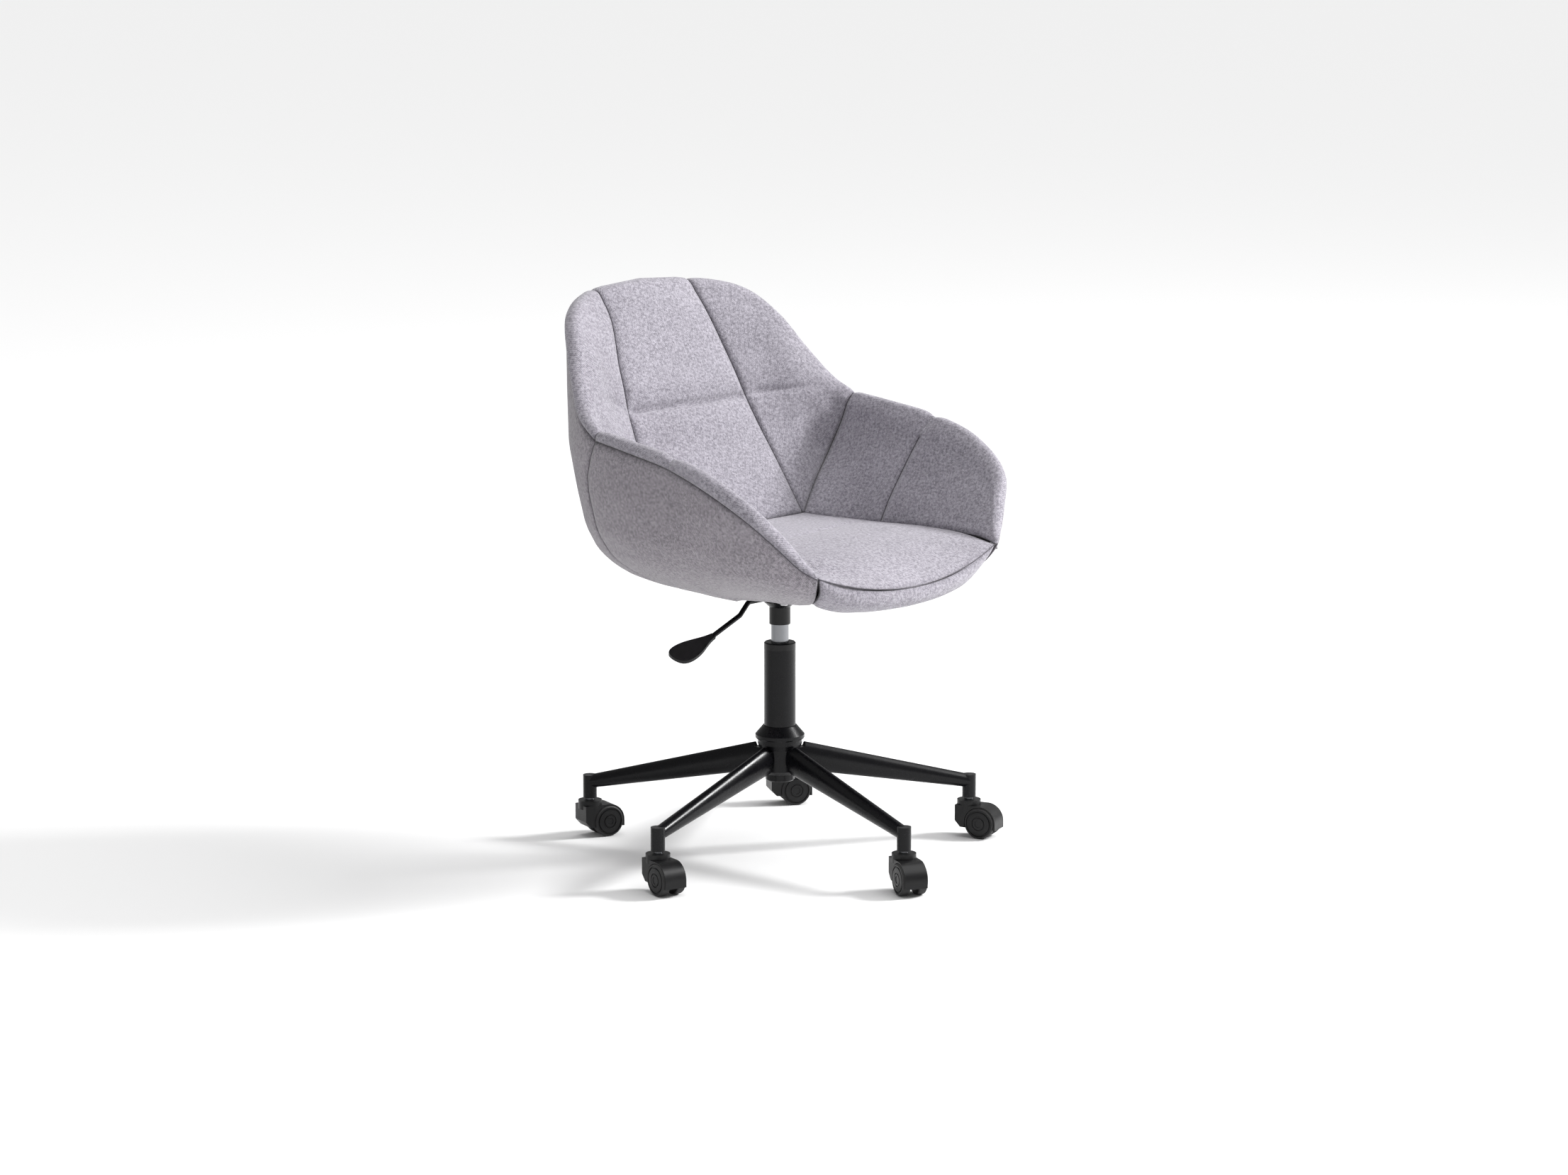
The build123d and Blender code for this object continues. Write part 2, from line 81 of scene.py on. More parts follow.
WING_END_RIB = (
    (152.9, 91.1, 513), (199, 116, 561), (242, 133, 609), (261, 127, 660),
    (270, 136, 702), (279, 146, 714), (286, 148, 710), (286, 145, 700),
)
CROOK_RIB = (
    (153, 91, 513), (205, 113, 558), (254, 127, 602), (272, 117, 648),
    (280, 108, 682), (289, 107, 691), (296, 108, 688), (297, 108, 679),
)
ARM_REAR_RIB = (
    (190, 20, 502), (221, 24, 545), (247, 28, 591), (273, 30, 642),
    (284, 31, 672), (294, 31, 682), (302, 32, 678), (304, 32, 669),
)
ARM_SEAM_RIB = (
    (194, -37, 505), (216, -36, 541), (240, -38, 577), (268, -46, 625),
    (286, -56, 659), (297, -59, 669), (306, -60, 664), (309, -59, 654),
)
ARM_FRONT_RIB = (
    (205, -134, 508), (227, -138, 540), (250, -142, 573), (273, -146, 607),
    (286, -147, 633), (296, -149, 641), (304, -150, 635), (306, -149, 622),
)
ARM_NOSE_RIB = (
    (205.5, -206, 508), (222, -208, 530), (239, -210, 552), (257, -212, 574),
    (267, -214, 589), (277, -216, 596), (284, -217, 590), (286, -218, 578),
)
ARM_FALL_RIB = (
    (206, -234, 507), (215, -234, 521), (225, -235, 534), (236, -236, 547),
    (242, -235, 556), (250, -236, 561), (257, -238, 555), (259, -239, 546),
)
ARM_END_RIB = (
    (205, -252, 504), (208, -252.5, 508.5), (211, -253.5, 512), (214, -254.5, 515),
    (216, -256, 517), (219, -258, 517), (223, -260, 514), (224, -261, 509),
)
ARM_TIP_RIB = (
    (203, -269, 499), (203.6, -269.2, 499.6), (204.2, -269.4, 500), (204.8, -269.6, 500.2),
    (205.4, -269.8, 500.2), (206, -270.2, 500), (206.6, -270.6, 499.2), (207, -271, 498),
)
RIB_STEPS = (17, 18, 22, 24, 6, 4, 4)
ARM_STEPS = (18, 20, 22, 16, 8, 8, 6)

SEAT_SIDE = (
    (152, 92, 513), (190, 20, 502), (195, -50, 505), (205, -133, 508),
    (205, -206, 508), (203, -269, 499),
)
SEAT_MIDDLE = (
    (0, 92, 511), (0, 20, 513), (0, -50, 513), (0, -133, 511),
    (0, -215, 497), (0, -284, 462),
)
FRONT_STITCH = ((0, -284, 462), (85, -279, 467), (150, -272, 481), (203, -269, 499))
FRONT_HEM = ((0, -256, 431), (90, -250, 435), (146, -240, 443), (171.5, -228, 452))
TUB_LEVELS = (  # height, half width, back y, front y of the outside
    (421, 95, 170, -215), (426, 125, 205, -240), (440, 167, 245, -262),
    (460, 212, 258, -280), (490, 256, 266, -288), (530, 284, 272, -290),
    (590, 303, 276, -288), (660, 312, 290, -285), (740, 300, 305, -285),
    (892, 278, 324, -285),
)
TUB_MIDDLE_Y = -20
BACK_ROUND = 2.7
FRONT_ROUND = 4.6

# ---- how finely each net is divided ----
CENTRE_STEPS = 36
WING_STEPS = (20, 12, 12, 12, 8)
SEAT_STEPS = (16, 16, 18, 18, 20)
SEAT_COLUMNS = 111
BORDER_STEPS = (26, 20, 20)
HEM_STEPS = (10, 10, 8)
COVER_STEPS = 64
UNDER_STEPS = 15

# ---- heights and depths of folds, and thicknesses, in metres ----
BACK_FOLD_HEIGHT, BACK_FOLD_DEPTH = 0.698, 0.008
WING_FOLD_HEIGHT, WING_FOLD_DEPTH = 0.700, 0.007
CORNER_FOLD_DEPTH = 0.0022
SEAT_FOLD_DEPTH = 0.003
BORDER_DEPTH = 0.008
COVER_DEPTH = 0.006
CLOTH_DEPTH = 0.002
PLAIN = 0.05  # distance from a seam at which the cloth is untouched by it

# ---- feet of the outer covers, in millimetres: the side's heights go by column of its net ----
BACK_FOOT = 430
SIDE_FOOT = ((0, 22, 50, 84), (430, 425, 422, 423, 442))
SIDE_FOOT_OUT = (76, 24)  # the column from which it turns out, and how far by the last

# ---- caster wheel, in millimetres: each step is how far in, then how far along the axle ----
WHEEL_RADIUS, WHEEL_WIDTH, WHEEL_START = 25, 9.8, 2.0
WHEEL_GAP = 6.5
WHEEL_FACE = (
    (0.7, 1.5), (1.5, 1.0), (1.6, 0), (0.7, -1.3), (1.3, 0), (0.7, 1.5), (7.3, 0.4),
    (0.6, -1.1), (1.0, 0), (0.5, 1.3), (3.1, 0), (0.4, -0.8),
)
WHEEL_BACK = ((1.4, -1.5), (2.1, -0.5), (18.4, 0))
AXLE_HOLE = 12.2
TREAD_FROM = 23.2


# ---- the user's sizes and colours ----
class ArmchairSizes(bpy.types.PropertyGroup):
    crown: bpy.props.FloatProperty(
        name="Crown", description="How far a pad swells between its seams",
        default=0.006, min=0.0, max=0.02, unit="LENGTH")
    seam_roll: bpy.props.FloatProperty(
        name="Seam roll", description="How deep a seam is sewn into the pads",
        default=0.0032, min=0.0, max=0.01, unit="LENGTH")
    pad_depth: bpy.props.FloatProperty(
        name="Pad depth", description="Thickness of the foam behind the fabric",
        default=0.012, min=0.004, max=0.03, unit="LENGTH")
    yarn: bpy.props.FloatProperty(
        name="Yarn", description="Width of one yarn of the weave",
        default=0.0024, min=0.0005, max=0.01, unit="LENGTH")


class ArmchairColours(bpy.types.PropertyGroup):
    fabric: bpy.props.FloatVectorProperty(
        name="Fabric", description="Light yarn of the cover",
        default=(0.50, 0.475, 0.535), size=3, subtype="COLOR", min=0, max=1)
    fabric_shade: bpy.props.FloatVectorProperty(
        name="Fabric shade", description="Dark yarn of the cover",
        default=(0.10, 0.092, 0.112), size=3, subtype="COLOR", min=0, max=1)
    metal: bpy.props.FloatVectorProperty(
        name="Powder coat", description="Satin black of the base",
        default=(0.004, 0.004, 0.005), size=3, subtype="COLOR", min=0, max=1)
    plastic: bpy.props.FloatVectorProperty(
        name="Moulding", description="Matte black of casters and paddle",
        default=(0.006, 0.006, 0.0065), size=3, subtype="COLOR", min=0, max=1)


# ---- drawing helpers ----
def smooth_line(points, steps):
    """A smooth line through points, with a number of steps between each two."""
    p = np.array(points, float)
    h = np.maximum(np.linalg.norm(np.diff(p, axis=0), axis=1), 1e-6)
    slope = np.diff(p, axis=0) / h[:, None]
    tangent = np.empty_like(p)
    tangent[1:-1] = (slope[:-1] * h[1:, None] + slope[1:] * h[:-1, None]) / (h[1:] + h[:-1])[:, None]
    tangent[0] = 1.5 * slope[0] - 0.5 * tangent[1] if len(p) > 2 else slope[0]
    tangent[-1] = 1.5 * slope[-1] - 0.5 * tangent[-2] if len(p) > 2 else slope[-1]
    parts = []
    for i, n in enumerate(steps):
        t = (np.arange(n) / n)[:, None]
        parts.append(
            (2 * t**3 - 3 * t**2 + 1) * p[i] + (t**3 - 2 * t**2 + t) * h[i] * tangent[i]
            + (3 * t**2 - 2 * t**3) * p[i + 1] + (t**3 - t**2) * h[i] * tangent[i + 1])
    return np.vstack(parts + [p[-1:]])


def skin_over(ribs, steps, rib_steps=RIB_STEPS):
    """A net of points, columns by rows, through ribs that all have the same number of points."""
    rows = np.array([smooth_line(rib, rib_steps) for rib in ribs])
    across = np.array([smooth_line(rows[:, j], steps) for j in range(rows.shape[1])])
    return np.ascontiguousarray(across.transpose(1, 0, 2)) * MM


def mirrored(net):
    """The net on the chair's other side."""
    return net[::-1] * np.array((-1, 1, 1))


def net_normals(net, towards):
    """Unit normals of a net, on the side of a point that they face."""
    along = np.gradient(net, axis=0)
    up = np.gradient(net, axis=1)
    n = np.cross(along, up)
    n /= np.maximum(np.linalg.norm(n, axis=2, keepdims=True), 1e-12)
    middle = tuple(s // 2 for s in net.shape[:2])
    if np.dot(n[middle], np.array(towards) - net[middle]) < 0:
        n = -n
    return n


def net_lengths(net):
    """Distances across and up a net from its first column and row, and to its far edges."""
    across = np.linalg.norm(np.diff(net, axis=0), axis=2)
    up = np.linalg.norm(np.diff(net, axis=1), axis=2)
    u = np.vstack([np.zeros((1, net.shape[1])), np.cumsum(across, axis=0)])
    v = np.hstack([np.zeros((net.shape[0], 1)), np.cumsum(up, axis=1)])
    return u, v, u[-1:] - u, v[:, -1:] - v


def sewn(net, normals, crown, roll, free=(), short=()):
    """Swell a net between the seams round it; returns it with its distance from a seam.

    A short seam ends before it reaches the rim.
    """
    u, v, u_far, v_far = net_lengths(net)
    edges = {"start": u, "end": u_far, "low": v, "high": v_far}
    for name in short:
        edges[name] = edges[name] + 0.03 * np.clip((0.062 - v_far) / 0.02, 0, 1)
    near = np.min([d for name, d in edges.items() if name not in free], axis=0)
    lift = roll * (1 - np.exp(-((near / 0.0045) ** 1.5))) + crown * (1 - np.exp(-near / 0.05))
    for name in short:
        side = u if name == "start" else u_far
        lift *= 1 - np.exp(-((side / 0.012) ** 2)) * np.clip((0.062 - v_far) / 0.02, 0, 1)
    return net + normals * lift[..., None], np.minimum(near, PLAIN)


def closed_pad(name, front, normals, depth, seam, behind=None):
    """A closed pad: the net in front, a second net behind it and walls between them."""
    nu, nv = front.shape[:2]
    back = front - normals * depth if behind is None else behind
    points = np.concatenate([front.reshape(-1, 3), back.reshape(-1, 3)])
    index = np.arange(nu * nv).reshape(nu, nv)
    a, b, c, d = index[:-1, :-1], index[1:, :-1], index[1:, 1:], index[:-1, 1:]
    quads = np.stack([a, b, c, d], -1).reshape(-1, 4)
    far = nu * nv
    rim = np.concatenate([index[:, 0], index[-1, 1:], index[-2::-1, -1], index[0, -2:0:-1]])
    ahead = np.roll(rim, -1)
    walls = np.stack([rim, rim + far, ahead + far, ahead], -1)
    faces = np.concatenate([quads, quads[:, ::-1] + far, walls])
    i, j = nu // 2, nv // 2
    cross = np.cross(front[i + 1, j] - front[i, j], front[i, j + 1] - front[i, j])
    if np.dot(cross, normals[i, j]) < 0:
        faces = faces[:, ::-1]
    mesh = bpy.data.meshes.new(name)
    mesh.from_pydata(points.tolist(), [], faces.tolist())
    u, v = net_lengths(front)[:2]
    place = np.stack([u, v], -1).reshape(-1, 2)
    place = np.concatenate([place, place])
    mesh.uv_layers.new(name="weave")
    loops = np.empty(len(mesh.loops), np.int32)
    mesh.loops.foreach_get("vertex_index", loops)
    mesh.uv_layers["weave"].data.foreach_set("uv", place[loops].astype(np.float32).ravel())
    # The distance from the nearest seam, which the cloth shader turns into painted shade along the
    # seams.
    mark = mesh.attributes.new("seam", "FLOAT", "POINT")
    mark.data.foreach_set("value", np.tile(seam.ravel(), 2).astype(np.float32))
    mesh.polygons.foreach_set("use_smooth", np.ones(len(mesh.polygons), bool))
    mesh.validate()
    mesh.update()
    pad = bpy.data.objects.new(name, mesh)
    bpy.context.scene.collection.objects.link(pad)
    return pad


def fit_out(pad, body, nodes, material):
    """Put a finished soft piece on its body, in place of its plain solids."""
    pad.data.materials.clear()
    pad.data.materials.append(material)
    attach(pad, body)
    if nodes:
        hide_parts(*nodes)


def step_face(facing, steps):
    """Inset the outermost face that looks up (1) or down (-1), moving it along z at each step."""
    piece = bpy.context.object
    bpy.ops.object.mode_set(mode="OBJECT")
    ends = [face for face in piece.data.polygons if face.normal.z * facing > 0.9]
    end = max(ends, key=lambda face: (face.center.z * facing, -face.area))
    for face in piece.data.polygons:
        face.select = face.index == end.index
    bpy.ops.object.mode_set(mode="EDIT")
    for inwards, rise in steps:
        bpy.ops.mesh.inset(thickness=inwards * MM)
        if rise:
            bpy.ops.transform.translate(value=(0, 0, rise * MM))


def placed_copy(piece, name, place):
    """A copy with its own mesh, put in place by moving its points."""
    copy = piece.copy()
    copy.data = piece.data.copy()
    copy.name = copy.data.name = name
    copy.data.transform(place)
    copy.data.update()
    bpy.context.scene.collection.objects.link(copy)
    return copy


def outer_reach(turn, height):
    """How far the tub's outside is from its own axis, in millimetres."""
    z = np.array([row[0] for row in TUB_LEVELS], float)
    rows = np.array([row[1:] for row in TUB_LEVELS], float)
    near = np.array([height - 9, height, height + 9])
    width, back, front = (np.interp(near, z, rows[:, k]).mean() for k in range(3))
    behind = sin(turn) > 0
    depth = back - TUB_MIDDLE_Y if behind else TUB_MIDDLE_Y - front
    power = BACK_ROUND if behind else FRONT_ROUND
    return (abs(cos(turn) / width) ** power + abs(sin(turn) / depth) ** power) ** (-1 / power)


def outer_column(top, foot_height, steps, foot_out=0.0):
    """Points from a place on the piping down the tub's outside to its foot."""
    x, y = top[0], top[1] - TUB_MIDDLE_Y
    straight = np.arctan2(y, x)
    out_of_true = np.hypot(x, y) - outer_reach(straight, top[2])
    column = []
    for step in range(steps + 1):
        share = step / steps
        beside_crook = np.exp(-(((straight - 0.41) / 0.5) ** 2))
        lean = radians(4.5 * min(1, 6 * share) + 7 * share) * beside_crook
        turn = straight + lean
        height = top[2] + (foot_height - top[2]) * share ** 0.8
        reach = outer_reach(turn, height) + out_of_true * (1 - share) ** 6 + foot_out * share
        rise = 12 * max(0.0, -sin(turn)) ** 0.5 * np.clip((500 - height) / 60, 0, 1)
        column.append((reach * cos(turn), TUB_MIDDLE_Y + reach * sin(turn), height + rise))
    return column


# ---- shared shader groups ----
def new_group(name, inputs, outputs):
    """An empty shader group with its sockets; inputs are (name, kind, default)."""
    group = bpy.data.node_groups.new(name, "ShaderNodeTree")
    for label, kind, default in inputs:
        socket = group.interface.new_socket(label, in_out="INPUT", socket_type=kind)
        socket.default_value = default
    for label, kind in outputs:
        group.interface.new_socket(label, in_out="OUTPUT", socket_type=kind)
    return group, group.nodes.new("NodeGroupInput"), group.nodes.new("NodeGroupOutput")


def node(tree, kind, links=None, **settings):
    """Add a node, set its properties and join its inputs."""
    made = tree.nodes.new(kind)
    for key, value in settings.items():
        setattr(made, key, value)
    for socket, source in (links or {}).items():
        if isinstance(source, bpy.types.NodeSocket):
            tree.links.new(source, made.inputs[socket])
        else:
            made.inputs[socket].default_value = source
    return made


def math_node(tree, operation, a, b=0.0, clamp=False):
    """The result of a sum on two values or sockets."""
    return node(tree, "ShaderNodeMath", {0: a, 1: b}, operation=operation, use_clamp=clamp).outputs[0]


def ranged(tree, value, low, high, to_low=0.0, to_high=1.0):
    """A value's range stretched to another."""
    return node(tree, "ShaderNodeMapRange", {
        "Value": value, "From Min": low, "From Max": high,
        "To Min": to_low, "To Max": to_high}).outputs[0]


def blend_colours(tree, share, a, b):
    """Colour a turning into colour b by a share."""
    return node(tree, "ShaderNodeMix", {0: share, 6: a, 7: b}, data_type="RGBA").outputs[2]


def chenille_group():
    """Plain weave of thick soft yarn: colour, roughness and height over the weave map, with shade
    painted along the seams.
    """
    group, given, result = new_group(
        "Chenille weave",
        [("Yarn", "NodeSocketFloat", 0.0024), ("Light", "NodeSocketColor", (0.4, 0.4, 0.4, 1)),
         ("Shade", "NodeSocketColor", (0.2, 0.2, 0.2, 1)), ("Seam", "NodeSocketFloat", 0.0)],
        [("Colour", "NodeSocketColor"), ("Roughness", "NodeSocketFloat"), ("Height", "NodeSocketFloat")])
    uv = node(group, "ShaderNodeUVMap", uv_map="weave").outputs[0]
    place = node(group, "ShaderNodeTexCoord").outputs["Object"]
    per_metre = math_node(group, "DIVIDE", 1.0, given.outputs["Yarn"])
    wander = node(group, "ShaderNodeTexNoise", {"Vector": place, "Scale": 160.0, "Detail": 2.0})
    shifted = node(group, "ShaderNodeVectorMath", {0: wander.outputs["Color"], 1: (0.5, 0.5, 0.5)},
                   operation="SUBTRACT").outputs[0]
    moved = node(group, "ShaderNodeVectorMath", {0: shifted, 1: (0.0011, 0.0011, 0.0)},
                 operation="MULTIPLY").outputs[0]
    drawn = node(group, "ShaderNodeVectorMath", {0: uv, 1: moved}, operation="ADD").outputs[0]
    parts = node(group, "ShaderNodeSeparateXYZ", {0: drawn})
    across = math_node(group, "MULTIPLY", parts.outputs[0], per_metre)
    up = math_node(group, "MULTIPLY", parts.outputs[1], per_metre)
    row = math_node(group, "FLOOR", up)
    half = math_node(group, "MULTIPLY", row, 0.5)
    stepped = math_node(group, "ADD", across, half)
    warp, weft = (
        math_node(group, "ABSOLUTE", math_node(group, "SINE", math_node(group, "MULTIPLY", way, pi)))
        for way in (stepped, up))
    knot = math_node(group, "POWER", math_node(group, "MULTIPLY", warp, weft), 0.6)
    fuzz = node(group, "ShaderNodeTexNoise", {"Vector": place, "Scale": 900.0, "Detail": 4.0,
                                              "Roughness": 0.7})
    slub = node(group, "ShaderNodeTexNoise", {"Vector": place, "Scale": 230.0, "Detail": 3.0,
                                              "Roughness": 0.75})
    broad = node(group, "ShaderNodeTexNoise", {"Vector": place, "Scale": 9.0, "Detail": 3.0})
    lumps = ranged(group, slub.outputs["Fac"], 0.36, 0.64)
    body = math_node(group, "ADD", math_node(group, "MULTIPLY", knot, 0.42),
                     math_node(group, "MULTIPLY", fuzz.outputs["Fac"], 0.3))
    body = math_node(group, "ADD", body, math_node(group, "MULTIPLY", lumps, 0.42))
    mix = ranged(group, body, 0.2, 1.0)
    mottled = math_node(group, "ADD", mix, math_node(
        group, "MULTIPLY", math_node(group, "SUBTRACT", broad.outputs["Fac"], 0.5), 0.25), clamp=True)
    colour = blend_colours(group, mottled, given.outputs["Shade"], given.outputs["Light"])
    # Painted shade: within about 2 mm of a seam the colour turns up to 85 % towards near black, and a
    # softer darkening of up to 22 % reaches 9 mm out, as the shadow in the seam's groove.
    seam_groove_shade = ranged(group, given.outputs["Seam"], 0.0004, 0.0019, 0.85, 0.0)
    seam_hollow_shade = ranged(group, given.outputs["Seam"], 0.0, 0.009, 0.22, 0.0)
    seam_groove_shade = math_node(group, "MAXIMUM", seam_groove_shade, seam_hollow_shade)
    colour = blend_colours(group, seam_groove_shade, colour, (0.035, 0.03, 0.04, 1))
    rough = ranged(group, fuzz.outputs["Fac"], 0.0, 1.0, 0.82, 1.0)
    height = math_node(group, "ADD", math_node(group, "MULTIPLY", knot, 0.7),
                       math_node(group, "MULTIPLY", fuzz.outputs["Fac"], 0.5))
    group.links.new(colour, result.inputs["Colour"])
    group.links.new(rough, result.inputs["Roughness"])
    group.links.new(height, result.inputs["Height"])
    return group


def coat_group():
    """Fine texture, uneven roughness and settled dust over a hard black surface."""
    group, given, result = new_group(
        "Coat and dust",
        [("Base", "NodeSocketColor", (0.02, 0.02, 0.02, 1)), ("Dust", "NodeSocketFloat", 0.1),
         ("Grain", "NodeSocketFloat", 900.0), ("Rough", "NodeSocketFloat", 0.35)],
        [("Colour", "NodeSocketColor"), ("Roughness", "NodeSocketFloat"), ("Height", "NodeSocketFloat")])
    place = node(group, "ShaderNodeTexCoord").outputs["Object"]
    peel = node(group, "ShaderNodeTexNoise", {"Vector": place, "Scale": given.outputs["Grain"],
                                              "Detail": 3.0})
    cloud = node(group, "ShaderNodeTexNoise", {"Vector": place, "Scale": 34.0, "Detail": 5.0,
                                               "Roughness": 0.65})
    specks = node(group, "ShaderNodeTexNoise", {"Vector": place, "Scale": 420.0, "Detail": 2.0})
    geometry = node(group, "ShaderNodeNewGeometry")
    upward = node(group, "ShaderNodeSeparateXYZ", {0: geometry.outputs["Normal"]})
    facing = ranged(group, upward.outputs[2], 0.1, 1.0)
    settled = math_node(group, "MULTIPLY", facing, cloud.outputs["Fac"])
    settled = math_node(group, "ADD", math_node(group, "MULTIPLY", settled, 0.8),
                        math_node(group, "MULTIPLY", specks.outputs["Fac"], 0.2))
    amount = math_node(group, "MULTIPLY", settled, given.outputs["Dust"], clamp=True)
    colour = blend_colours(group, amount, given.outputs["Base"], (0.32, 0.31, 0.30, 1))
    uneven = math_node(group, "SUBTRACT", cloud.outputs["Fac"], 0.5)
    rough = math_node(group, "ADD", given.outputs["Rough"], math_node(group, "MULTIPLY", uneven, 0.25))
    rough = math_node(group, "ADD", rough, math_node(group, "MULTIPLY", amount, 0.4), clamp=True)
    group.links.new(colour, result.inputs["Colour"])
    group.links.new(rough, result.inputs["Roughness"])
    group.links.new(peel.outputs["Fac"], result.inputs["Height"])
    return group


def shader(name, group, values, bump=0.0, bump_distance=0.001, **constant):
    """A material whose colour, roughness and bump come from a shared group."""
    material = bpy.data.materials.get(name)
    if material:
        return material
    material = bpy.data.materials.new(name)
    material.use_nodes = True
    tree = material.node_tree
    principled = tree.nodes["Principled BSDF"]
    placed = node(tree, "ShaderNodeGroup")
    placed.node_tree = group
    for key, value in values.items():
        placed.inputs[key].default_value = value
    tree.links.new(placed.outputs["Colour"], principled.inputs["Base Color"])
    tree.links.new(placed.outputs["Roughness"], principled.inputs["Roughness"])
    if bump:
        raised = node(tree, "ShaderNodeBump", {"Height": placed.outputs["Height"],
                                               "Strength": bump, "Distance": bump_distance})
        tree.links.new(raised.outputs[0], principled.inputs["Normal"])
    for key, value in constant.items():
        principled.inputs[key.replace("_", " ")].default_value = value
    return material


def group_named(name, build):
    """The shared group of that name, built the first time it is asked for."""
    return bpy.data.node_groups.get(name) or build()


def cover_cloth(name, painted_shade_tint=(1.0, 1.0, 1.0)):
    """The chair's grey chenille; a colour factor below one makes it a little warmer and darker, as
    painted shade.
    """
    sizes, colours = bpy.context.scene.armchair_sizes, bpy.context.scene.armchair_colours
    light = [c * t for c, t in zip(colours.fabric, painted_shade_tint)] + [1]
    shade = [c * t for c, t in zip(colours.fabric_shade, painted_shade_tint)] + [1]
    material = shader(
        name, group_named("Chenille weave", chenille_group),
        {"Yarn": sizes.yarn, "Light": light, "Shade": shade}, bump=0.55, bump_distance=0.0009,
        Sheen_Weight=0.35, Sheen_Roughness=0.5, Specular_IOR_Level=0.15)
    tree = material.node_tree
    placed = next(n for n in tree.nodes if n.type == "GROUP")
    # The seam distance drives the shade painted along the seams.
    if not placed.inputs["Seam"].is_linked:
        mark = node(tree, "ShaderNodeAttribute", attribute_name="seam")
        tree.links.new(mark.outputs["Fac"], placed.inputs["Seam"])
    return material


def powder_coat():
    """Satin black powder coat of the base."""
    colour = [*bpy.context.scene.armchair_colours.metal, 1]
    return shader("Satin powder coat", group_named("Coat and dust", coat_group),
                  {"Base": colour, "Dust": 0.004, "Grain": 1500.0, "Rough": 0.27},
                  bump=0.1, bump_distance=0.0003, Specular_IOR_Level=0.2)


def black_moulding():
    """Matte black plastic."""
    colour = [*bpy.context.scene.armchair_colours.plastic, 1]
    return shader("Black moulding", group_named("Coat and dust", coat_group),
                  {"Base": colour, "Dust": 0.012, "Grain": 2600.0, "Rough": 0.36},
                  bump=0.2, bump_distance=0.0003, Specular_IOR_Level=0.28)


def tread_rubber():
    """Dusty black rubber."""
    return shader("Caster tread", group_named("Coat and dust", coat_group),
                  {"Base": (0.016, 0.016, 0.017, 1), "Dust": 0.3, "Grain": 1800.0, "Rough": 0.6},
                  bump=0.3, bump_distance=0.0004, Specular_IOR_Level=0.3)


def bright_chrome():
    """Chrome of the gas cylinder."""
    return shader("Bright chrome", group_named("Coat and dust", coat_group),
                  {"Base": (0.2, 0.205, 0.215, 1), "Dust": 0.02, "Grain": 300.0, "Rough": 0.22},
                  bump=0.02, bump_distance=0.0002, Metallic=1.0)


def zinc_steel():
    """Dull zinc on fixings."""
    return shader("Zinc plated steel", group_named("Coat and dust", coat_group),
                  {"Base": (0.42, 0.42, 0.43, 1), "Dust": 0.05, "Grain": 900.0, "Rough": 0.3},
                  bump=0.05, bump_distance=0.0002, Metallic=1.0)


def dust_cloth():
    """Thin black cloth below the seat."""
    return shader("Black dust cloth", group_named("Coat and dust", coat_group),
                  {"Base": (0.012, 0.012, 0.012, 1), "Dust": 0.1, "Grain": 2200.0, "Rough": 0.85},
                  bump=0.5, bump_distance=0.0006)


def bare_board():
    """Unfinished plywood."""
    return shader("Seat board", group_named("Coat and dust", coat_group),
                  {"Base": (0.5, 0.36, 0.22, 1), "Dust": 0.2, "Grain": 120.0, "Rough": 0.6},
                  bump=0.2, bump_distance=0.0004)


def centre_net():
    """The centre pad's net, from the right seam to the left."""
    left = skin_over((CENTRE_RIB, SEAM_RIB), (CENTRE_STEPS,))
    right = mirrored(left)
    return np.concatenate([right[:-1], left])


def wing_net():
    """The left wing's pad, from the centre's seam to the crook of the rim."""
    ribs = (SEAM_RIB, WING_HIGH_RIB, WING_MIDDLE_RIB, WING_LOW_RIB, WING_END_RIB, CROOK_RIB)
    return skin_over(ribs, WING_STEPS)


def arm_net():
    """The left arm's pad, from the crook of the rim to its tip at the seat's front."""
    ribs = (CROOK_RIB, ARM_REAR_RIB, ARM_SEAM_RIB, ARM_FRONT_RIB, ARM_NOSE_RIB,
            ARM_FALL_RIB, ARM_END_RIB, ARM_TIP_RIB)
    return skin_over(ribs, ARM_STEPS)


def crease(net, normals, line_z, depth, weight):
    """Press the fold of the back into a net, deepest where the weight is 1."""
    offset = net[..., 2] - line_z
    press = np.exp(-((offset / 0.0042) ** 2)) + 0.35 * np.exp(-((offset / 0.018) ** 2))
    above = np.exp(-(((offset - 0.03) / 0.02) ** 2))
    below = np.exp(-(((offset + 0.03) / 0.02) ** 2))
    puff = 0.6 * above + 0.35 * below
    return net - normals * (depth * weight * (press - 0.5 * puff))[..., None]


# ---- one operator for each piece or group of like pieces ----
class ARMCHAIR_OT_back_pad(bpy.types.Operator):
    """Upholster the flat centre of the back with its pressed fold"""

    bl_idname = "armchair.back_pad"
    bl_label = "Centre back pad"

    def execute(self, context):
        sizes = context.scene.armchair_sizes
        net = centre_net()
        normals = net_normals(net, (0, -1, 1))
        front, seam = sewn(net, normals, sizes.crown, sizes.seam_roll)
        u, _, u_far, _ = net_lengths(net)
        fade = np.clip(np.minimum(u, u_far) / 0.012, 0, 1)
        front = crease(front, normals, BACK_FOLD_HEIGHT, BACK_FOLD_DEPTH, fade)
        pad = closed_pad("back_centre_upholstery", front, normals, sizes.pad_depth, seam)
        fit_out(pad, "seat", ["back_centre_pad"], cover_cloth("Grey chenille"))
        return {"FINISHED"}


